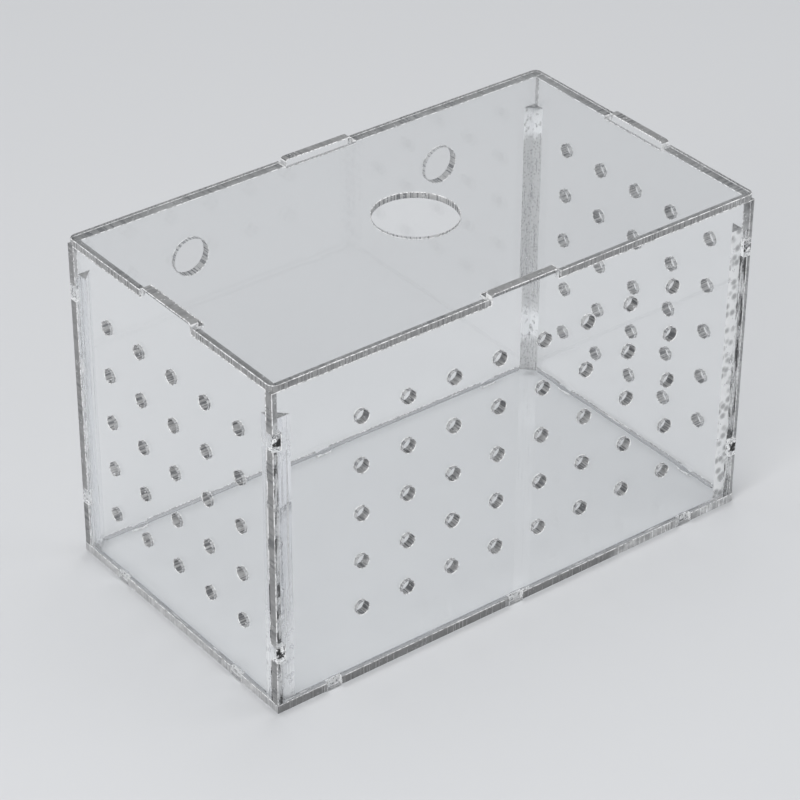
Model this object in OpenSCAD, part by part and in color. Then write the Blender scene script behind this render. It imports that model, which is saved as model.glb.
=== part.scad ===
// Fish breeding box: a clear sheet box with perforated sides and a loose lid.
// Five cut sheets are glued edge to edge with small tabs let into notches,
// four three-sided strips stiffen the upright corners, and the lid drops over
// one wide tab on the top edge of every wall.
// Units are millimetres. +Z is up, X runs along the long side and the origin
// is the middle of the underside.

/* [Box] */
// outside length of the box
box_l = 161; // [120:1:260]
// outside depth of the box, front to back
box_w = 92.5; // [76:0.5:160]
// height from the underside to the top edge of the walls
box_h = 99.8; // [60:0.2:160]
// thickness of the floor and wall sheets
sheet_t = 2.7; // [2:0.1:5]

/* [Water holes] */
// diameter of the small water holes
hole_d = 4; // [2:0.1:6]
// distance between neighbouring hole centres
hole_pitch = 15; // [8:0.5:18]
// hole columns on the front wall
front_cols = 8; // [3:1:8]
// hole columns on each end wall
end_cols = 5; // [2:1:5]
// hole rows on the front and end walls
hole_rows = 5; // [2:1:5]
// least distance from an outside edge of the box to a hole centre
hole_margin = 10; // [8:0.5:14]
// how far the front holes and the corner tabs sit above the middle of the walls
side_lift = 0.8; // [0:0.1:2]
// how far the end wall holes sit above the middle of the walls
end_hole_lift = 0.2; // [0:0.1:2]
// how far the end wall holes sit in front of the middle of the box
end_hole_shift = 0.7; // [0:0.1:2]

/* [Suction cup holes] */
// diameter of the two cup holes in the back wall
cup_hole_d = 11; // [6:0.1:16]
// distance between the two cup hole centres
cup_hole_span = 86.2; // [40:0.2:90]
// distance from the top edge of the back wall down to the cup hole centres
cup_hole_drop = 17.7; // [13:0.1:30]

/* [Glued tabs] */
// width of every small glued tab
tab_w = 5; // [3:0.1:8]
// distance from the end of a wall to the middle of its first floor tab
floor_tab_inset = 18.5; // [12:0.5:26]
// distance from the end of a short wall to the middle of its floor tab
end_tab_inset = 19.2; // [12:0.2:26]
// distance from the upper and lower wall edge to the corner tab middles, before the lift
corner_tab_inset = 15.6; // [9:0.2:24]

/* [Corner strips] */
// length of the two equal legs of a strip
strip_leg = 3.8; // [3:0.1:8]
// distance from the top edge of the walls down to the top of a strip
strip_drop = 8.8; // [3:0.2:20]

/* [Lid] */
// thickness of the lid sheet
lid_t = 2; // [1.5:0.1:5]
// radius of the four lid corners
lid_corner_r = 2.2; // [0.5:0.1:6]
// diameter of the round hole in the middle of the lid
lid_hole_d = 24; // [14:0.5:40]
// width of the wide tab on the top edge of every wall
top_tab_w = 22.6; // [12:0.2:34]
// how far the wide tabs stand above the lid
top_tab_proud = 1.1; // [0.4:0.1:3]
// radius of the upper corners of the wide tabs
top_tab_r = 1; // [0.3:0.1:1.8]
// play between each end of a wide tab and the lid notch
lid_play = 0.6; // [0.2:0.1:1.2]
// play between the inner face of a wide tab and the lid notch
notch_play = 1; // [0.2:0.1:1.6]

/* [Hidden] */
half_l = box_l / 2;
half_w = box_w / 2;
in_half_l = half_l - sheet_t;
in_half_w = half_w - sheet_t;
wall_mid_z = (box_h + sheet_t) / 2;
top_tab_h = lid_t + top_tab_proud;
upper_tab_z = box_h - corner_tab_inset + side_lift;
lower_tab_z = sheet_t + corner_tab_inset + side_lift;
floor_tab_x = half_l - floor_tab_inset;
floor_tab_y = half_w - end_tab_inset;
cup_z = box_h - cup_hole_drop;
strip_top_z = box_h - strip_drop;
strip_h = strip_top_z - sheet_t;
notch_w = top_tab_w + 2 * lid_play;
notch_d = sheet_t + notch_play;
front_pitch_x = min(hole_pitch, (box_l - 2 * hole_margin) / (front_cols - 1));
end_pitch_y = min(hole_pitch, (box_w - 2 * end_hole_shift - 2 * hole_margin) / (end_cols - 1));
most_lift = max(side_lift, end_hole_lift);
pitch_z = min(hole_pitch, (box_h - sheet_t - 2 * most_lift - 2 * hole_margin) / (hole_rows - 1));
cut = 1;

// upright sheet outline in its own plane: width along X, height along Y
module wall_face(half) {
    difference() {
        translate([-half, sheet_t])
            square([2 * half, box_h - sheet_t]);
        for (s = [-1, 1])
            for (z = [lower_tab_z, upper_tab_z])
                translate([s * (half - sheet_t / 2 + cut / 2) - (sheet_t + cut) / 2, z - tab_w / 2])
                    square([sheet_t + cut, tab_w]);
    }
}

// wide tab on the top edge, upper corners rounded
module top_tab() {
    translate([-top_tab_w / 2, box_h])
        square([top_tab_w, top_tab_h - top_tab_r]);
    translate([top_tab_r - top_tab_w / 2, box_h])
        square([top_tab_w - 2 * top_tab_r, top_tab_h]);
    for (s = [-1, 1])
        translate([s * (top_tab_w / 2 - top_tab_r), box_h + top_tab_h - top_tab_r])
            circle(r = top_tab_r, $fn = 24);
}

// small tabs let down into the floor
module floor_tabs(places) {
    for (x = places)
        translate([x - tab_w / 2, 0])
            square([tab_w, sheet_t]);
}

// a field of water holes in the plane of a wall, moved off the wall's middle
module hole_field(cols, pitch_x, shift, lift) {
    for (i = [0 : cols - 1])
        for (j = [0 : hole_rows - 1])
            translate([shift + (i - (cols - 1) / 2) * pitch_x, wall_mid_z + lift + (j - (hole_rows - 1) / 2) * pitch_z])
                circle(d = hole_d, $fn = 24);
}

// long wall outline, shared by the front and the back
module long_wall_face() {
    wall_face(half_l);
    top_tab();
    floor_tabs([-floor_tab_x, 0, floor_tab_x]);
}

// short wall outline: it fits between the long walls and its side tabs reach
// out through the notches in their ends
module end_wall_face() {
    translate([-in_half_w, sheet_t])
        square([2 * in_half_w, box_h - sheet_t]);
    for (z = [lower_tab_z, upper_tab_z])
        translate([-half_w, z - tab_w / 2])
            square([box_w, tab_w]);
    top_tab();
    floor_tabs([-floor_tab_y, floor_tab_y]);
}

module floor_panel() {
    color("lightsteelblue")
        difference() {
            translate([-half_l, -half_w, 0])
                cube([box_l, box_w, sheet_t]);
            for (s = [-1, 1])
                for (x = [-floor_tab_x, 0, floor_tab_x])
                    translate([x - tab_w / 2, s * (half_w - sheet_t / 2 + cut / 2) - (sheet_t + cut) / 2, -cut])
                        cube([tab_w, sheet_t + cut, sheet_t + 2 * cut]);
            for (s = [-1, 1])
                for (y = [-floor_tab_y, floor_tab_y])
                    translate([s * (half_l - sheet_t / 2 + cut / 2) - (sheet_t + cut) / 2, y - tab_w / 2, -cut])
                        cube([sheet_t + cut, tab_w, sheet_t + 2 * cut]);
        }
}

module front_wall() {
    color("powderblue")
        translate([0, -in_half_w, 0])
            rotate([90, 0, 0])
                linear_extrude(height = sheet_t)
                    difference() {
                        long_wall_face();
                        hole_field(front_cols, front_pitch_x, 0, side_lift);
                    }
}

module back_wall() {
    color("powderblue")
        translate([0, half_w, 0])
            rotate([90, 0, 0])
                linear_extrude(height = sheet_t)
                    difference() {
                        long_wall_face();
                        for (s = [-1, 1])
                            translate([s * cup_hole_span / 2, cup_z])
                                circle(d = cup_hole_d, $fn = 48);
                    }
}

module end_wall(side) {
    translate([side > 0 ? in_half_l : -half_l, 0, 0])
        rotate([90, 0, 90])
            linear_extrude(height = sheet_t)
                difference() {
                    end_wall_face();
                    hole_field(end_cols, end_pitch_y, -end_hole_shift, end_hole_lift);
                }
}

module left_wall() {
    color("paleturquoise")
        end_wall(-1);
}

module right_wall() {
    color("paleturquoise")
        end_wall(1);
}

// three-sided strip standing on the floor in the corner given by two signs
module strip(sx, sy) {
    color("azure")
        translate([sx * in_half_l, sy * in_half_w, sheet_t])
            linear_extrude(height = strip_h)
                polygon([[0, 0], [-sx * strip_leg, 0], [0, -sy * strip_leg]]);
}

module strip_front_left() {
    strip(-1, -1);
}

module strip_front_right() {
    strip(1, -1);
}

module strip_back_left() {
    strip(-1, 1);
}

module strip_back_right() {
    strip(1, 1);
}

// lid outline with round corners
module lid_blank() {
    square([box_l - 2 * lid_corner_r, box_w], center = true);
    square([box_l, box_w - 2 * lid_corner_r], center = true);
    for (sx = [-1, 1])
        for (sy = [-1, 1])
            translate([sx * (half_l - lid_corner_r), sy * (half_w - lid_corner_r)])
                circle(r = lid_corner_r, $fn = 32);
}

module lid() {
    color("aliceblue")
        translate([0, 0, box_h])
            linear_extrude(height = lid_t)
                difference() {
                    lid_blank();
                    circle(d = lid_hole_d, $fn = 64);
                    for (s = [-1, 1])
                        translate([-notch_w / 2, s * (half_w - notch_d / 2 + cut / 2) - (notch_d + cut) / 2])
                            square([notch_w, notch_d + cut]);
                    for (s = [-1, 1])
                        translate([s * (half_l - notch_d / 2 + cut / 2) - (notch_d + cut) / 2, -notch_w / 2])
                            square([notch_d + cut, notch_w]);
                }
}

floor_panel();
front_wall();
back_wall();
left_wall();
right_wall();
strip_front_left();
strip_front_right();
strip_back_left();
strip_back_right();
lid();
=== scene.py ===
"""Fish breeding box: clear sheets with frosted cut edges, glued with small tabs, under a loose lid."""

import math
import random

import bmesh
import bpy
from mathutils import Matrix, Vector, noise
from mathutils.geometry import delaunay_2d_cdt


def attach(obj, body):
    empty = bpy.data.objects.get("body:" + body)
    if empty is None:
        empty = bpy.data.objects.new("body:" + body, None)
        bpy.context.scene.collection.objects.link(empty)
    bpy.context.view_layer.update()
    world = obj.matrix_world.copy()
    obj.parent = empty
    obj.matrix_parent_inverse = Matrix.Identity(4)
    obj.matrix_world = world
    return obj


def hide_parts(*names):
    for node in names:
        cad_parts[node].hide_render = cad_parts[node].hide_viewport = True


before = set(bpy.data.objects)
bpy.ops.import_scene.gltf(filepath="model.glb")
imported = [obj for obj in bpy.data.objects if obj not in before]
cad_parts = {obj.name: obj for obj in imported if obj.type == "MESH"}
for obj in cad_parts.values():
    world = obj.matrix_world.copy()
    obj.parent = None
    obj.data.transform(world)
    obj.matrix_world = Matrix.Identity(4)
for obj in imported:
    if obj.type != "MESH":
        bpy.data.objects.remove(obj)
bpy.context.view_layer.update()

# ---------------------------------------------------------------- sizes, in millimetres
MM = 0.001
BOX_L, BOX_W, BOX_H, T = 161.0, 92.5, 99.8, 2.7
HALF_L, HALF_W = BOX_L / 2, BOX_W / 2
IN_L, IN_W = HALF_L - T, HALF_W - T
MID_Z = (BOX_H + T) / 2
SIDE_LIFT = 0.8  # front holes and corner tabs above the middle of the walls
END_LIFT, END_SHIFT = 0.2, -0.7  # end wall holes off the middle, upwards and along Y
PITCH, HOLE_R, HOLE_SIDES = 15.0, 2.0, 40
FRONT_COLS, END_COLS, ROWS = 8, 5, 5
CUP_X, CUP_Z, CUP_R, CUP_SIDES = 43.1, 82.1, 5.5, 72
TAB = 2.5  # half the width of a small tab
FLOOR_TAB_INSET, END_TAB_INSET, CORNER_TAB_INSET = 18.5, 19.2, 15.6
UP_Z, LOW_Z = BOX_H - CORNER_TAB_INSET + SIDE_LIFT, T + CORNER_TAB_INSET + SIDE_LIFT
FLOOR_X, FLOOR_Y = HALF_L - FLOOR_TAB_INSET, HALF_W - END_TAB_INSET
LEG, STRIP_DROP = 3.8, 8.8
STRIP_TOP = BOX_H - STRIP_DROP
LID_T, LID_R, LID_HOLE_R, LID_HOLE_SIDES = 2.0, 2.2, 12.0, 112
TOP_HALF, TOP_H, TOP_R = 11.3, 3.1, 1.0
LID_PLAY, NOTCH_PLAY = 0.6, 1.0
NOTCH_HALF, NOTCH_D = TOP_HALF + LID_PLAY, T + NOTCH_PLAY
AIR = 0.03  # each sheet keeps this much clear of its neighbours
RIM, RIM_SPREAD = 0.17, 0.5  # broken corner left by the cutter, and how unevenly wide it is
SIDE_STEP = 2.5  # longest side of a sheet's outline
GRID = 9.0  # spacing of the points inside the polished faces
STRIP_STEPS = 24
BAND_WANDER = 3.0  # how far the ends of foamed glue stray up or down
ACRYLIC_IOR = 1.49


# ---------------------------------------------------------------- outlines
def arc(cx, cy, r, a0, a1, n):
    """Points of an arc, angles in degrees."""
    angles = [math.radians(a0 + (a1 - a0) * i / n) for i in range(n + 1)]
    return [(cx + r * math.cos(a), cy + r * math.sin(a)) for a in angles]


def circle(cx, cy, r, n):
    """A loop of n points, counter-clockwise."""
    angles = [2 * math.pi * i / n for i in range(n)]
    return [(cx + r * math.cos(a), cy + r * math.sin(a)) for a in angles]


def wall_outline(half, floor_tabs, reach):
    """Upright sheet, counter-clockwise. Its sides step out by reach at the corner tabs, or in if negative."""
    pts = [(-half, T)]
    for c in floor_tabs:
        pts += [(c - TAB, T), (c - TAB, 0.0), (c + TAB, 0.0), (c + TAB, T)]
    pts.append((half, T))
    for z in (LOW_Z, UP_Z):
        pts += [(half, z - TAB), (half + reach, z - TAB), (half + reach, z + TAB), (half, z + TAB)]
    pts.append((half, BOX_H))
    top = BOX_H + TOP_H
    pts.append((TOP_HALF, BOX_H))
    pts += arc(TOP_HALF - TOP_R, top - TOP_R, TOP_R, 0, 90, 6)
    pts += arc(TOP_R - TOP_HALF, top - TOP_R, TOP_R, 90, 180, 6)
    pts.append((-TOP_HALF, BOX_H))
    pts.append((-half, BOX_H))
    for z in (UP_Z, LOW_Z):
        pts += [(-half, z + TAB), (-half - reach, z + TAB), (-half - reach, z - TAB), (-half, z - TAB)]
    return pts


def floor_outline():
    """Floor sheet, counter-clockwise, with a notch for each small tab of the walls."""
    pts = [(-HALF_L, -HALF_W)]
    for c in (-FLOOR_X, 0, FLOOR_X):
        pts += [(c - TAB, -HALF_W), (c - TAB, -IN_W), (c + TAB, -IN_W), (c + TAB, -HALF_W)]
    pts.append((HALF_L, -HALF_W))
    for c in (-FLOOR_Y, FLOOR_Y):
        pts += [(HALF_L, c - TAB), (IN_L, c - TAB), (IN_L, c + TAB), (HALF_L, c + TAB)]
    pts.append((HALF_L, HALF_W))
    for c in (FLOOR_X, 0, -FLOOR_X):
        pts += [(c + TAB, HALF_W), (c + TAB, IN_W), (c - TAB, IN_W), (c - TAB, HALF_W)]
    pts.append((-HALF_L, HALF_W))
    for c in (FLOOR_Y, -FLOOR_Y):
        pts += [(-HALF_L, c + TAB), (-IN_L, c + TAB), (-IN_L, c - TAB), (-HALF_L, c - TAB)]
    return pts


def lid_outline():
    """Lid, counter-clockwise, with round corners and a notch for each wide tab."""
    pts = []
    n, d, r = NOTCH_HALF, NOTCH_D, LID_R
    pts += arc(r - HALF_L, r - HALF_W, r, 180, 270, 8)
    pts += [(-n, -HALF_W), (-n, d - HALF_W), (n, d - HALF_W), (n, -HALF_W)]
    pts += arc(HALF_L - r, r - HALF_W, r, 270, 360, 8)
    pts += [(HALF_L, -n), (HALF_L - d, -n), (HALF_L - d, n), (HALF_L, n)]
    pts += arc(HALF_L - r, HALF_W - r, r, 0, 90, 8)
    pts += [(n, HALF_W), (n, HALF_W - d), (-n, HALF_W - d), (-n, HALF_W)]
    pts += arc(r - HALF_L, HALF_W - r, r, 90, 180, 8)
    pts += [(-HALF_L, n), (d - HALF_L, n), (d - HALF_L, -n), (-HALF_L, -n)]
    return pts


def offset(pts, d):
    """A counter-clockwise loop moved in by d, corners mitred."""
    out = []
    for i, p in enumerate(pts):
        a, c = pts[i - 1], pts[(i + 1) % len(pts)]
        e1 = Vector((p[0] - a[0], p[1] - a[1])).normalized()
        e2 = Vector((c[0] - p[0], c[1] - p[1])).normalized()
        n1, n2 = Vector((-e1.y, e1.x)), Vector((-e2.y, e2.x))
        k = 1 + n1.dot(n2)
        m = (n1 + n2) / max(k, 0.2)  # the limit keeps a sharp corner from running away
        out.append((p[0] + d * m.x, p[1] + d * m.y))
    return out


def refine(pts, step):
    """The loop with extra points so that no side is longer than step."""
    out = []
    for i, p in enumerate(pts):
        q = pts[(i + 1) % len(pts)]
        n = max(1, math.ceil(math.hypot(q[0] - p[0], q[1] - p[1]) / step))
        out += [(p[0] + (q[0] - p[0]) * k / n, p[1] + (q[1] - p[1]) * k / n) for k in range(n)]
    return out


def is_inside(p, loop):
    """True if the point lies inside the loop."""
    odd = False
    for a, b in zip(loop, loop[1:] + loop[:1]):
        if (a[1] > p.y) != (b[1] > p.y) and p.x < a[0] + (b[0] - a[0]) * (p.y - a[1]) / (b[1] - a[1]):
            odd = not odd
    return odd


# ---------------------------------------------------------------- meshes
def new_object(name, bm, materials):
    """Turns a bmesh into an object with the given material slots."""
    bmesh.ops.recalc_face_normals(bm, faces=bm.faces)
    mesh = bpy.data.meshes.new(name)
    bm.to_mesh(mesh)
    bm.free()
    for m in materials:
        mesh.materials.append(m)
    ob = bpy.data.objects.new(name, mesh)
    bpy.context.scene.collection.objects.link(ob)
    return ob


# material slots of every sheet
CLEAR, CUT, BORE, RIMMED, FOOT, END, SOCKET, DRY, TIP_GLINT, BEADS, TAB_END = range(11)


def bore_side(u, v, du, dv):
    """The slot of every side of a hole."""
    return BORE


def side_faces(bm, ring, pts, slot_of, beaded):
    """The sides of one loop: a cut face between two broken corners. ring holds the corners of four levels."""
    for i, a in enumerate(pts):
        j = (i + 1) % len(pts)
        b = pts[j]
        m = slot_of((a[0] + b[0]) / 2, (a[1] + b[1]) / 2, b[0] - a[0], b[1] - a[1])
        for level in range(3):
            f = bm.faces.new((ring[level][i], ring[level][j], ring[level + 1][j], ring[level + 1][i]))
            if m == FOOT and level == beaded:
                f.material_index = BEADS
            else:
                f.material_index = m if level == 1 or m in (FOOT, END, TAB_END) else RIMMED
            f.smooth = m == BORE and level == 1


def inner_points(flat, outer, holes):
    """Points of a grid inside a sheet, clear of its edges and holes."""
    lo_u, hi_u = min(p.x for p in flat), max(p.x for p in flat)
    lo_v, hi_v = min(p.y for p in flat), max(p.y for p in flat)
    cols, rows = round((hi_u - lo_u) / GRID), round((hi_v - lo_v) / GRID)
    found = []
    for i in range(1, cols):
        for j in range(1, rows):
            p = Vector((lo_u + (hi_u - lo_u) * i / cols, lo_v + (hi_v - lo_v) * j / rows))
            off_edges = min((p - q).length_squared for q in flat) > (GRID / 3) ** 2
            off_holes = all(math.hypot(p.x - cx, p.y - cy) > r + RIM for cx, cy, r, n in holes)
            if off_edges and off_holes and is_inside(p, outer):
                found.append(p)
    return found


def is_in_hole(p, holes, openings):
    """True if the point lies in a hole. openings are the holes' loops on the polished faces."""
    for (cx, cy, r, n), loop in zip(holes, openings):
        if math.hypot(p.x - cx, p.y - cy) < r + RIM and is_inside(p, loop):
            return True
    return False


def sheet(name, outline, holes, thick, place, materials, side, seed, beaded=0):
    """A cut sheet with broken corners.
    place turns (u, v, w) into x, y, z, and side picks the slot of an outer side.
    beaded is the corner of the foot that shows a row of glue beads: 0 where w starts and 2 where it ends."""
    rng = random.Random(seed)
    bm = bmesh.new()
    outer = refine(offset(outline, AIR), SIDE_STEP)
    uneven = [1 - RIM_SPREAD / 2 + RIM_SPREAD * rng.random() for _ in outer]
    loops = [(outer, uneven, side)]  # each with the widths of its rim
    loops += [(circle(*hole)[::-1], [1.0] * hole[3], bore_side) for hole in holes]
    flat, low, high = [], [], []  # corners of the two polished faces, flat and in each face
    seams, openings = [], []  # the sides of their loops, and the loops
    for pts, widths, slot_of in loops:
        moved = zip(offset(pts, RIM), pts, widths)
        inset = [(q[0] + (p[0] - q[0]) * k, q[1] + (p[1] - q[1]) * k) for p, q, k in moved]
        levels = ((AIR, inset), (AIR + RIM, pts), (thick - AIR - RIM, pts), (thick - AIR, inset))
        ring = [[bm.verts.new(Vector(place(u, v, w)) * MM) for u, v in base] for w, base in levels]
        side_faces(bm, ring, pts, slot_of, beaded)
        n = len(pts)
        seams += [(len(flat) + i, len(flat) + (i + 1) % n) for i in range(n)]
        flat += [Vector(p) for p in inset]
        low += ring[0]
        high += ring[3]
        openings.append(inset)
    for p in inner_points(flat, outer, holes):
        flat.append(p)
        low.append(bm.verts.new(Vector(place(p.x, p.y, AIR)) * MM))
        high.append(bm.verts.new(Vector(place(p.x, p.y, thick - AIR)) * MM))
    keep_inside = 1
    points, _, tris, origin, _, _ = delaunay_2d_cdt(flat, seams, [], keep_inside, 1e-6)
    for tri in tris:
        middle = (points[tri[0]] + points[tri[1]] + points[tri[2]]) / 3
        if is_in_hole(middle, holes, openings[1:]):
            continue
        for verts in (low, high):
            bm.faces.new([verts[origin[i][0]] for i in tri]).material_index = CLEAR
    return new_object(name, bm, materials)


# ---------------------------------------------------------------- materials
def nodes_of(name):
    """A new material and its empty node tree."""
    mat = bpy.data.materials.new(name)
    mat.use_nodes = True
    tree = mat.node_tree
    tree.nodes.clear()
    return mat, tree


def add(tree, kind, **values):
    """A new node. A value whose name starts with in_ goes to an input socket, any other to a property."""
    node = tree.nodes.new(kind)
    for k, v in values.items():
        if k.startswith("in_"):
            node.inputs[k[3:].replace("_", " ")].default_value = v
        else:
            setattr(node, k, v)
    return node


def math_node(tree, op, a, b, clamp=False):
    """The result of an operation on a and b, each a socket or a number."""
    node = tree.nodes.new("ShaderNodeMath")
    node.operation = op
    node.use_clamp = clamp
    for i, x in enumerate((a, b)):
        if isinstance(x, (int, float)):
            node.inputs[i].default_value = x
        else:
            tree.links.new(x, node.inputs[i])
    return node.outputs[0]


def ramp(tree, source, stops):
    """A colour ramp whose stops are a position with a grey value or a colour."""
    node = tree.nodes.new("ShaderNodeValToRGB")
    elements = node.color_ramp.elements
    while len(elements) < len(stops):
        elements.new(0.5)
    for element, (position, colour) in zip(elements, stops):
        element.position = position
        element.color = (colour, colour, colour, 1) if isinstance(colour, (int, float)) else (*colour, 1)
    tree.links.new(source, node.inputs[0])
    return node.outputs[0]


def textured(tree, kind, squeeze=(1, 1, 1), **values):
    """A texture read in the part's own coordinates, squeezed along each axis."""
    coords = tree.nodes.new("ShaderNodeTexCoord")
    mapping = add(tree, "ShaderNodeMapping", in_Scale=squeeze)
    tree.links.new(coords.outputs["Object"], mapping.inputs["Vector"])
    texture = add(tree, kind, **values)
    tree.links.new(mapping.outputs["Vector"], texture.inputs["Vector"])
    return texture


def plastic(tree, **values):
    """A plastic shader that bends light as acrylic does."""
    return add(tree, "ShaderNodeBsdfPrincipled", in_IOR=ACRYLIC_IOR, **values)


def finished(tree, shader):
    """Makes the shader the surface of the material."""
    out = tree.nodes.new("ShaderNodeOutputMaterial")
    tree.links.new(shader, out.inputs["Surface"])


def lamp_pass(tree, shader, tint):
    """Lets lamp light and light off dull surfaces through, so that clear sheets keep only a faint shadow."""
    path = tree.nodes.new("ShaderNodeLightPath")
    through = add(tree, "ShaderNodeBsdfTransparent", in_Color=(*tint, 1))
    for ray in ("Is Diffuse Ray", "Is Shadow Ray"):
        mix = tree.nodes.new("ShaderNodeMixShader")
        tree.links.new(path.outputs[ray], mix.inputs[0])
        tree.links.new(shader, mix.inputs[1])
        tree.links.new(through.outputs[0], mix.inputs[2])
        shader = mix.outputs[0]
    finished(tree, shader)


def mixed(tree, a, b, fac):
    """Colour a turned into b by fac. Each is a socket or a plain value."""
    node = tree.nodes.new("ShaderNodeMix")
    node.data_type = "RGBA"
    for socket, x in ((node.inputs[0], fac), (node.inputs[6], a), (node.inputs[7], b)):
        if isinstance(x, (int, float)):
            socket.default_value = x
        elif isinstance(x, tuple):
            socket.default_value = (*x, 1)
        else:
            tree.links.new(x, socket)
    return node.outputs[2]


def part_axis(tree, axis):
    """The part's own coordinate along one axis, in metres."""
    coords = tree.nodes.new("ShaderNodeTexCoord")
    xyz = tree.nodes.new("ShaderNodeSeparateXYZ")
    tree.links.new(coords.outputs["Object"], xyz.inputs[0])
    return xyz.outputs[axis]


def bumped(tree, height, shaders, strength, depth):
    """Roughens the shaders by height, up to depth metres."""
    bump = add(tree, "ShaderNodeBump", in_Strength=strength, in_Distance=depth)
    tree.links.new(height, bump.inputs["Height"])
    for shader in shaders:
        tree.links.new(bump.outputs[0], shader.inputs["Normal"])


def clear_material(name):
    """Polished sheet face: clear, with barely visible wipe marks in its gloss."""
    mat, tree = nodes_of(name)
    surface = plastic(tree, in_Base_Color=(0.992, 0.996, 0.998, 1), in_Transmission_Weight=1.0)
    wipe = textured(tree, "ShaderNodeTexNoise", (20, 55, 90), in_Scale=1.0, in_Detail=3.0)
    tree.links.new(ramp(tree, wipe.outputs["Fac"], [(0.4, 0.0), (0.75, 0.02)]), surface.inputs["Roughness"])
    lamp_pass(tree, surface.outputs[0], (0.995, 0.997, 0.998))
    return mat


def along_x(tree, start, end):
    """A share that grows from 0 to nearly 1 between two places on X, in millimetres."""
    share = math_node(tree, "ADD", math_node(tree, "MULTIPLY", part_axis(tree, "X"), 1 / (BOX_L * MM)), 0.5)
    return ramp(tree, share, [(0.5 + start / BOX_L, 0.0), (0.5 + end / BOX_L, 0.9)])


def cut_material(name, across, tone, lines, cloud=0.24, fleck=0.5, see=0.25, rough=(0.35, 0.6), relief=0.25,
                 zones=(0.44, 0.58), pitch=1250.0, worn=None):
    """Frosted cut edge: groups of fine striations across the sheet, cloudy patches and small bright flecks,
    partly specks in the cut and partly painted glints.
    worn is the stretch of X, in millimetres, over which the edge turns pale and rough."""
    mat, tree = nodes_of(name)
    fine = [pitch] * 3
    fine[across] = 50.0
    streak = textured(tree, "ShaderNodeTexNoise", fine, in_Scale=1.0, in_Detail=2.0, in_Roughness=0.6)
    zone = textured(tree, "ShaderNodeTexNoise", in_Scale=48.0, in_Detail=2.0)
    patch = textured(tree, "ShaderNodeTexNoise", in_Scale=420.0, in_Detail=3.0, in_Roughness=0.6)
    spots = textured(tree, "ShaderNodeTexVoronoi", in_Scale=1100.0)
    rare = textured(tree, "ShaderNodeTexNoise", in_Scale=300.0, in_Detail=1.0)
    brightest = min(0.96, tone * (1 + cloud))
    clouds = ramp(tree, patch.outputs["Fac"], [(0.32, tone * (1 - cloud)), (0.5, tone), (0.66, brightest)])
    dark = ramp(tree, streak.outputs["Fac"], [(0.42, 1.0), (0.5, 0.0)])
    where = ramp(tree, zone.outputs["Fac"], [(zones[0], lines * 0.3), (zones[1], lines)])
    in_groups = math_node(tree, "MULTIPLY", dark, where)
    lined = mixed(tree, clouds, (tone * 0.42, tone * 0.43, tone * 0.45), in_groups)
    # near-white flecks: partly real specks in the cut face, partly painted glints
    speck_and_glint = ramp(tree, spots.outputs["Distance"], [(0.0, 1.0), (0.2, 1.0), (0.3, 0.0)])
    some = ramp(tree, rare.outputs["Fac"], [(0.54, 0.0), (0.6, fleck)])
    colour = mixed(tree, lined, (0.97, 0.975, 0.98), math_node(tree, "MULTIPLY", speck_and_glint, some))
    if worn:
        smear = ramp(tree, patch.outputs["Fac"], [(0.36, 0.52), (0.5, 0.7), (0.62, 0.92)])
        smear = mixed(tree, smear, (0.3, 0.305, 0.315), math_node(tree, "MULTIPLY", dark, 0.35))
        colour = mixed(tree, colour, smear, along_x(tree, *worn))
    surface = plastic(tree, in_Transmission_Weight=see)
    tree.links.new(colour, surface.inputs["Base Color"])
    roughness = ramp(tree, streak.outputs["Fac"], [(0.3, rough[0]), (0.7, rough[1])])
    tree.links.new(roughness, surface.inputs["Roughness"])
    bumped(tree, streak.outputs["Fac"], [surface], relief, 0.2 * MM)
    finished(tree, surface.outputs[0])
    return mat


def rim_highlight_material(name):
    """Corner melted by the cutter, painted in bright and duller stretches: a painted highlight along the rim.
    """
    mat, tree = nodes_of(name)
    run = textured(tree, "ShaderNodeTexNoise", in_Scale=1400.0, in_Detail=1.0)
    surface = plastic(tree)
    tree.links.new(ramp(tree, run.outputs["Fac"], [(0.4, 0.4), (0.56, 0.82)]), surface.inputs["Base Color"])
    tree.links.new(ramp(tree, run.outputs["Fac"], [(0.35, 0.12), (0.6, 0.3)]), surface.inputs["Roughness"])
    finished(tree, surface.outputs[0])
    return mat


def bead_material(name):
    """A row of fine glue beads along the lower corner of a wall."""
    mat, tree = nodes_of(name)
    cells = textured(tree, "ShaderNodeTexVoronoi", in_Scale=1500.0, in_Randomness=0.6)
    surface = plastic(tree, in_Roughness=0.2)
    glint = ramp(tree, cells.outputs["Distance"], [(0.25, 0.96), (0.42, 0.3)])
    tree.links.new(glint, surface.inputs["Base Color"])
    finished(tree, surface.outputs[0])
    return mat


def foam(tree, bands):
    """Share of foamed glue along Z. bands are its (height, share) stops, in millimetres."""
    stir = textured(tree, "ShaderNodeTexNoise", in_Scale=500.0, in_Detail=2.0)
    wander = math_node(tree, "MULTIPLY", stir.outputs["Fac"], 2 * BAND_WANDER * MM)
    height = math_node(tree, "ADD", part_axis(tree, "Z"), wander)
    share_up = math_node(tree, "MULTIPLY", height, 1 / (BOX_H * MM))
    zone = ramp(tree, share_up, [((at + BAND_WANDER) / BOX_H, share) for at, share in bands])
    return math_node(tree, "MULTIPLY", zone, ramp(tree, stir.outputs["Fac"], [(0.36, 0.0), (0.46, 1.0)]))


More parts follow.
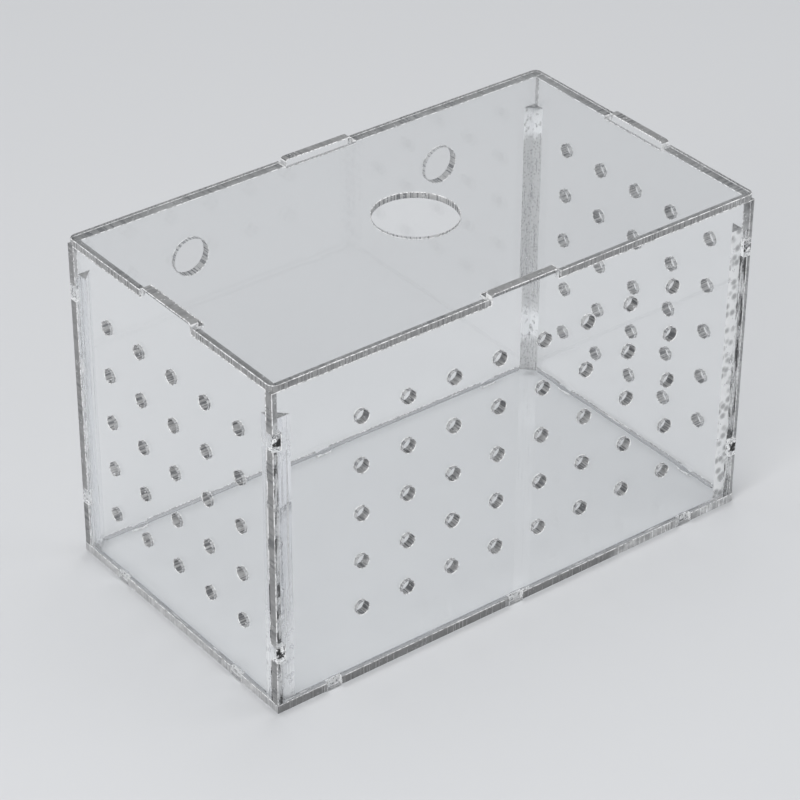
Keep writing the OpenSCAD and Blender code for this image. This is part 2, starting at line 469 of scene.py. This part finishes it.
def glued_material(name, along, cover, blob, stretch, tone, bubbles=0.8, tint=(0.96, 0.97, 0.98), outline=0.7,
                   wet_rough=0.01, bands=None, cell=1050.0, core=0.1):
    """A joint face wetted with solvent: clear, with trapped bubbles and pale patches drawn out along it.
    bands are where the glue has foamed."""
    mat, tree = nodes_of(name)
    long = [blob] * 3
    long[along] = blob * stretch
    cells = textured(tree, "ShaderNodeTexVoronoi", in_Scale=cell)
    cloud = textured(tree, "ShaderNodeTexNoise", long, in_Scale=1.0, in_Detail=2.5, in_Roughness=0.55)
    edge = 0.68 - 0.34 * cover
    patch = ramp(tree, cloud.outputs["Fac"], [(edge - 0.015, 0.0), (edge + 0.025, 1.0)])
    ring = ramp(tree, cells.outputs["Distance"], [(0.14, 0.0), (0.24, bubbles), (0.36, bubbles), (0.46, 0.0)])
    near_patch = ramp(tree, cloud.outputs["Fac"], [(edge - 0.09, 0.0), (edge - 0.03, 1.0)])
    border = [(edge - 0.045, 0.0), (edge - 0.02, 1.0), (edge + 0.005, 1.0), (edge + 0.03, 0.0)]
    line = math_node(tree, "MULTIPLY", ramp(tree, cloud.outputs["Fac"], border), outline)
    both = math_node(tree, "MAXIMUM", math_node(tree, "MULTIPLY", ring, near_patch), patch, clamp=True)
    both = math_node(tree, "MAXIMUM", both, line, clamp=True)
    pale = ramp(tree, cells.outputs["Distance"], [(core, tone[0]), (0.45 + core / 2, tone[1])])
    pale = mixed(tree, pale, (0.26, 0.265, 0.28), line)
    if bands:
        foamed = foam(tree, bands)
        both = math_node(tree, "MAXIMUM", both, foamed, clamp=True)
        pale = mixed(tree, pale, (0.96, 0.965, 0.97), foamed)
    wet = plastic(tree, in_Base_Color=(*tint, 1), in_Transmission_Weight=1.0, in_Roughness=wet_rough)
    white = plastic(tree, in_Transmission_Weight=0.15, in_Roughness=0.25)
    tree.links.new(pale, white.inputs["Base Color"])
    bumped(tree, both, [wet, white], 0.5, 0.4 * MM)
    mix = tree.nodes.new("ShaderNodeMixShader")
    tree.links.new(both, mix.inputs[0])
    tree.links.new(wet.outputs[0], mix.inputs[1])
    tree.links.new(white.outputs[0], mix.inputs[2])
    lamp_pass(tree, mix.outputs[0], (0.85, 0.86, 0.87))
    return mat


AXES = "xyz"
clear = clear_material("clear_sheet")
cut = {
    a: cut_material(f"cut_edge_{AXES[a]}", a, tone=0.33, lines=0.9, cloud=0.16, see=0.3, rough=(0.28, 0.5),
                    zones=(0.44, 0.54))
    for a in (0, 1, 2)
}
# bores with more bright flecks: partly specks in the cut, partly painted glints on the crescents
bore = {
    a: cut_material(f"bore_{AXES[a]}", a, tone=0.46, lines=1.0, cloud=0.15, fleck=0.8, see=0.3,
                    rough=(0.15, 0.35), zones=(0.2, 0.36), pitch=1500.0)
    for a in (0, 1)
}
ticked = {
    a: cut_material(f"ticked_{AXES[a]}", a, tone=0.54, lines=1.0, cloud=0.1, rough=(0.2, 0.4), relief=0.4,
                    zones=(0.2, 0.45), pitch=1500.0)
    for a in (1, 2)
}
# dark tone of the smooth long floor edges: painted shade, as these sides get less of the key lamp than the
# ends
smooth_cut = cut_material("smooth_edge", 2, tone=0.3, lines=0.7, cloud=0.08, fleck=0.3, see=0.4,
                          rough=(0.2, 0.3), relief=0.08, zones=(0.6, 0.68), worn=(33, 38))
# pale tone of the short floor ends: painted light
end_cut_painted_lit = cut_material("floor_end_edge_painted_light", 2, tone=0.58, lines=0.5, cloud=0.2, fleck=0.4, relief=0.1)
lid_cut = cut_material("lid_edge", 2, tone=0.42, lines=0.8, cloud=0.1, fleck=0.4, see=0.35, rough=(0.2, 0.35),
                       relief=0.1, zones=(0.56, 0.63))
dry = cut_material("dry_edge", 2, tone=0.5, lines=0.3, cloud=0.35, fleck=0.8, see=0.2)
# near-white tip material for the ends of the wide tabs and the lid notches: a painted glint
tip_glint = cut_material("melted_tip_painted_glint", 1, tone=0.95, lines=0.6, cloud=0.05, fleck=0.0, see=0.1, rough=(0.08, 0.2),
                   zones=(0.2, 0.4))
# the rim faces get a pale base colour that stands in for their highlights: painted highlight
rim = rim_highlight_material("melted_rim_painted_highlight")
beads = bead_material("glue_beads")
seam_x = glued_material("seam_floor_x", 0, cover=0.12, blob=900, stretch=0.12, tone=(0.4, 0.8), bubbles=0.35,
                        outline=0.4)
seam_y = glued_material("seam_floor_y", 1, cover=0.16, blob=900, stretch=0.12, tone=(0.4, 0.8), bubbles=0.35,
                        outline=0.4)
seam_z = glued_material("seam_corner", 2, cover=0.5, blob=900, stretch=0.12, tone=(0.55, 0.9), outline=0.35)
socket = glued_material("seam_tabs", 2, cover=0.8, blob=1100, stretch=1.0, tone=(0.7, 0.99), outline=1.0)
tab_end = glued_material("seam_tab_ends", 2, cover=0.4, blob=900, stretch=0.8, tone=(0.5, 0.98), bubbles=0.9,
                         outline=0.8)

# ---------------------------------------------------------------- the sheets
SLACK = 0.2  # how close counts as the same place
LEVEL = 1e-6  # a side that rises or runs less than this is level or upright


def near(a, b):
    """True if the two places are about the same."""
    return abs(a - b) < SLACK


def wall_side(half, reach):
    """Cut edges where a wall stays open. Its foot, the ends that meet another wall, and the sides of the
    small tabs and notches are glued faces."""

    def pick(u, v, du, dv):
        level = abs(dv) < LEVEL
        if level and near(v, T):
            return FOOT
        at_end = abs(u) > (half + reach if reach < 0 else half) - SLACK
        if level and v < BOX_H - SLACK and at_end:
            return SOCKET
        if not level and v < T:
            return SOCKET
        if not level and reach < 0 and near(abs(u), half + reach):
            return SOCKET
        if not level and reach > 0 and near(abs(u), half):
            return END if v < STRIP_TOP else DRY
        # the ends of the wide top tab get the bright tip material: a painted glint
        if not level and v > BOX_H and near(abs(u), TOP_HALF):
            return TIP_GLINT
        if not level and reach > 0 and abs(u) > half:
            return TAB_END
        return CUT

    return pick


def floor_side(u, v, du, dv):
    """The notches for the wall tabs have glued sides, and the short edges are painted paler than the long
    ones: painted light as from the key lamp's side.
    """
    if abs(du) < LEVEL and near(abs(u), HALF_L):
        return DRY
    in_x = IN_W - SLACK < abs(v) < HALF_W - SLACK and abs(u) < IN_L - SLACK
    in_y = IN_L - SLACK < abs(u) < HALF_L - SLACK and abs(v) < IN_W - SLACK
    return SOCKET if in_x or in_y else CUT


def lid_side(u, v, du, dv):
    """Ends of the four notches get the bright tip material: a painted glint."""
    in_x = near(abs(u), NOTCH_HALF) and abs(v) > HALF_W - NOTCH_D
    in_y = near(abs(v), NOTCH_HALF) and abs(u) > HALF_L - NOTCH_D
    return TIP_GLINT if in_x or in_y else CUT


def sheet_set(edge, holes, foot=None, bare=None):
    """Materials in the order CLEAR, CUT, BORE, RIMMED, FOOT, END, SOCKET, DRY, TIP_GLINT, BEADS, TAB_END."""
    return [clear, edge, holes, rim, foot or seam_x, seam_z, socket, bare or dry, tip_glint, beads, tab_end]


def hole_field(cols, shift, lift):
    """A field of water holes as (u, v, radius, sides), moved off the middle of a wall."""
    places = [(i - (cols - 1) / 2, j - (ROWS - 1) / 2) for i in range(cols) for j in range(ROWS)]
    return [(shift + i * PITCH, MID_Z + lift + j * PITCH, HOLE_R, HOLE_SIDES) for i, j in places]


front_holes = hole_field(FRONT_COLS, 0, SIDE_LIFT)
end_holes = hole_field(END_COLS, END_SHIFT, END_LIFT)
cup_holes = [(s * CUP_X, CUP_Z, CUP_R, CUP_SIDES) for s in (-1, 1)]
lid_hole = (0, 0, LID_HOLE_R, LID_HOLE_SIDES)
long_outline = wall_outline(HALF_L, (-FLOOR_X, 0, FLOOR_X), -T)
end_outline = wall_outline(IN_W, (-FLOOR_Y, FLOOR_Y), T)

front = sheet(
    "front_sheet", long_outline, front_holes, T, lambda u, v, w: (u, w - HALF_W, v),
    sheet_set(cut[1], bore[1]), wall_side(HALF_L, -T), 11)
back = sheet(
    "back_sheet", long_outline, cup_holes, T, lambda u, v, w: (u, IN_W + w, v),
    sheet_set(cut[1], ticked[1]), wall_side(HALF_L, -T), 12, beaded=2)
left = sheet(
    "left_sheet", end_outline, end_holes, T, lambda u, v, w: (w - HALF_L, u, v),
    sheet_set(cut[0], bore[0], seam_y), wall_side(IN_W, T), 13)
right = sheet(
    "right_sheet", end_outline, end_holes, T, lambda u, v, w: (IN_L + w, u, v),
    sheet_set(cut[0], bore[0], seam_y), wall_side(IN_W, T), 14, beaded=2)
floor = sheet(
    "floor_sheet", floor_outline(), [], T, lambda u, v, w: (u, v, w),
    sheet_set(smooth_cut, smooth_cut, bare=end_cut_painted_lit), floor_side, 15)
lid = sheet(
    "lid_sheet", lid_outline(), [lid_hole], LID_T, lambda u, v, w: (u, v, BOX_H + w),
    sheet_set(lid_cut, ticked[2]), lid_side, 16)


def strip(name, sx, sy, glue):
    """Three-sided corner strip: clear long face, frosted ends, glued on its two legs."""
    bm = bmesh.new()
    leg = LEG - 3 * AIR
    corner = (sx * (IN_L - AIR), sy * (IN_W - AIR))
    a = (corner[0] - sx * leg, corner[1])
    b = (corner[0], corner[1] - sy * leg)
    foot = T + AIR
    levels = [foot + (STRIP_TOP - foot) * k / STRIP_STEPS for k in range(STRIP_STEPS + 1)]
    rows = [[bm.verts.new(Vector((*p, z)) * MM) for p in (corner, a, b)] for z in levels]
    for lo, hi in zip(rows, rows[1:]):
        for i, m in ((0, 1), (1, 0), (2, 1)):
            j = (i + 1) % 3
            bm.faces.new((lo[i], lo[j], hi[j], hi[i])).material_index = m
    for row in (rows[0], rows[-1]):
        bm.faces.new(row).material_index = 2
    return new_object(name, bm, [clear, glue, cut[2]])


strips = {
    "strip_front_left": strip("strip_fl", -1, -1, glued_material(
        "strip_glue_fl", 2, cover=0.25, blob=1300, stretch=0.02, tone=(0.4, 0.7), bubbles=0.15,
        tint=(0.95, 0.945, 0.975), outline=0.4,
        bands=[(3, 0.8), (24, 0.7), (34, 0.2), (50, 0.0), (78, 0.0), (82, 0.5), (88, 0.0)])),
    "strip_front_right": strip("strip_fr", 1, -1, glued_material(
        "strip_glue_fr", 2, cover=1.0, blob=500, stretch=1.0, tone=(0.36, 0.86), bubbles=0.9,
        outline=0.0, cell=430.0, core=0.24)),
    "strip_back_left": strip("strip_bl", -1, 1, glued_material(
        "strip_glue_bl", 2, cover=0.24, blob=1000, stretch=0.012, tone=(0.32, 0.5), bubbles=0.1,
        tint=(0.92, 0.93, 0.95), outline=0.3)),
    "strip_back_right": strip("strip_br", 1, 1, glued_material(
        "strip_glue_br", 2, cover=0.9, blob=1300, stretch=0.06, tone=(0.34, 0.6), bubbles=0.2, outline=0.5,
        bands=[(12, 0.0), (15, 0.9), (22, 0.9), (26, 0.0), (80, 0.0), (83, 1.0), (90, 0.8), (91, 0.8)])),
}

for ob, node, body, slot in (
    (front, "front_wall", "tank", "acrylic_walls"),
    (back, "back_wall", "tank", "acrylic_walls"),
    (left, "left_wall", "tank", "acrylic_walls"),
    (right, "right_wall", "tank", "acrylic_walls"),
    (floor, "floor_panel", "tank", "acrylic_floor"),
    (lid, "lid", "lid", "acrylic_lid"),
    *((ob, node, "tank", "acrylic_strips") for node, ob in strips.items()),
):
    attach(ob, body)
    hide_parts(node)

# ---------------------------------------------------------------- glue run out along the inner seams
BITE = 0.01  # shift of the corner of a run off its line, and of its outer face the other way
RUN_STEP = 0.8
SWELL, SWELL_REACH = 1.1, 1.9  # how much a run thickens beside a tab, and over what length
END_TAPER, THINNEST = 0.3, 0.12
BULGES = [(a, 0.58 + 0.42 * abs(2 * a - 1)) for a in (0.0, 0.25, 0.5, 0.75, 1.0)]  # its hollow outer face
glue = glued_material("glue_run", 2, cover=-0.2, blob=500, stretch=1.0, tone=(0.5, 0.7), bubbles=0.0,
                      tint=(0.9, 0.91, 0.92), outline=0.0, wet_rough=0.06)


def fillet(name, start, end, wall, size, swell_at, seed):
    """A thin uneven run of solvent glue in the corner between the floor and a wall, thicker beside each tab.
    wall points away from the wall, and swell_at are the distances of the tabs from the start."""
    start, end, wall = Vector(start), Vector(end), Vector(wall)
    length = (end - start).length
    along = (end - start) / length
    n = int(length / RUN_STEP)
    bm = bmesh.new()
    rows = []
    shift = random.Random(seed).random() * 50
    for i in range(n + 1):
        d = length * i / n
        at = start + along * d
        k = 0.8 + 0.3 * noise.noise(Vector((d * 0.13 + shift, 0.0, 0.0)))
        k += 0.08 * noise.noise(Vector((d * 0.9 + shift, 5.0, 0.0)))
        for s in swell_at:
            k += SWELL * math.exp(-((d - s) / SWELL_REACH) ** 2)
        if i in (0, n):
            k *= END_TAPER
        r = max(THINNEST, size * k)
        row = [at - wall * BITE + Vector((0, 0, BITE))]
        for a, bulge in BULGES:
            row.append(at + wall * (r * (1 - a) * bulge + BITE) + Vector((0, 0, r * a * bulge + BITE)))
        rows.append([bm.verts.new(p * MM) for p in row])
    for lo, hi in zip(rows, rows[1:]):
        for i in range(6):
            j = (i + 1) % 6
            bm.faces.new((lo[i], lo[j], hi[j], hi[i])).smooth = 0 < i < 5
    bm.faces.new(rows[0])
    bm.faces.new(rows[-1])
    ob = new_object(name, bm, [glue])
    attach(ob, "tank")


reach_x, reach_y = IN_L - LEG - 0.3, IN_W - LEG - 0.3  # the runs stop just short of the strips
run_x, run_y, run_z = IN_L - 0.05, IN_W - 0.05, T + 0.02
tabs_x = [reach_x - FLOOR_X, reach_x, reach_x + FLOOR_X]
tabs_y = [reach_y - FLOOR_Y, reach_y + FLOOR_Y]
fillet("glue_front", (-reach_x, -run_y, run_z), (reach_x, -run_y, run_z), (0, 1, 0), 0.2, tabs_x, 21)
fillet("glue_back", (-reach_x, run_y, run_z), (reach_x, run_y, run_z), (0, -1, 0), 0.5, tabs_x, 22)
fillet("glue_left", (-run_x, -reach_y, run_z), (-run_x, reach_y, run_z), (1, 0, 0), 0.4, tabs_y, 23)
fillet("glue_right", (run_x, -reach_y, run_z), (run_x, reach_y, run_z), (-1, 0, 0), 0.5, tabs_y, 24)

# ---------------------------------------------------------------- stage
GROUND_HALF, GROUND_DROP = 6.0, 0.2 * MM


def plain_material(name, colour, rough):
    """One even colour."""
    mat, tree = nodes_of(name)
    surface = add(tree, "ShaderNodeBsdfPrincipled", in_Base_Color=(*colour, 1), in_Roughness=rough)
    finished(tree, surface.outputs[0])
    return mat


ground_mesh = bmesh.new()
bmesh.ops.create_grid(ground_mesh, x_segments=1, y_segments=1, size=GROUND_HALF)
ground = new_object("ground", ground_mesh, [plain_material("ground_paint", (0.61, 0.615, 0.625), 0.8)])
ground.location.z = -GROUND_DROP

# ---------------------------------------------------------------- light
scene = bpy.context.scene
world = bpy.data.worlds.new("studio")
scene.world = world
world.use_nodes = True
background = world.node_tree.nodes["Background"]
background.inputs["Color"].default_value = (0.93, 0.96, 1.0, 1)
background.inputs["Strength"].default_value = 0.36
LIT_POINT = Vector((0, 0, 0.05))


def softbox(name, at, size, power):
    """A rectangular lamp aimed at the box."""
    light = bpy.data.lights.new(name, "AREA")
    light.shape = "RECTANGLE"
    light.size, light.size_y = size
    light.energy = power
    ob = bpy.data.objects.new(name, light)
    scene.collection.objects.link(ob)
    ob.visible_glossy = ob.visible_transmission = False  # keeps its mirror image out of the polished sheets
    ob.location = at
    ob.rotation_euler = (LIT_POINT - Vector(at)).to_track_quat("-Z", "Y").to_euler()


softbox("key", (-1.1, -0.6, 1.05), (0.9, 0.7), 17)
softbox("top", (0.2, 0.5, 1.5), (1.0, 0.8), 9)
softbox("fill", (0.9, -0.9, 0.8), (0.9, 0.9), 5)

# ---------------------------------------------------------------- camera
FOCAL_PX, IMAGE_PX, SENSOR = 3081.03, 800, 36
AZ, EL, ROLL = (math.radians(x) for x in (-37.812, 33.1, 0.3474))
TARGET_Z, DISTANCE, SHIFT_RIGHT, SHIFT_UP = 40, 856.21, -3.871, 2.1065
back_v = Vector((math.sin(AZ) * math.cos(EL), -math.cos(AZ) * math.cos(EL), math.sin(EL)))
right_v = Vector((math.cos(AZ), math.sin(AZ), 0))
up_v = back_v.cross(right_v)
right_r = right_v * math.cos(ROLL) + up_v * math.sin(ROLL)
up_r = up_v * math.cos(ROLL) - right_v * math.sin(ROLL)
eye = (right_r * SHIFT_RIGHT + up_r * SHIFT_UP + back_v * DISTANCE + Vector((0, 0, TARGET_Z))) * MM
cam_data = bpy.data.cameras.new("camera")
cam_data.sensor_width = SENSOR
cam_data.lens = FOCAL_PX / IMAGE_PX * SENSOR
cam_data.clip_start, cam_data.clip_end = 0.01, 50
camera = bpy.data.objects.new("camera", cam_data)
scene.collection.objects.link(camera)
camera.matrix_world = Matrix(
    [[right_r[i], up_r[i], back_v[i], eye[i]] for i in range(3)] + [[0, 0, 0, 1]])
scene.camera = camera
scene.view_settings.view_transform = "Standard"
scene.cycles.caustics_reflective = False
scene.cycles.caustics_refractive = False
BOUNCES = 24  # enough to see through both walls, the lid and back
scene.cycles.max_bounces = BOUNCES
scene.cycles.transmission_bounces = BOUNCES
scene.cycles.transparent_max_bounces = BOUNCES
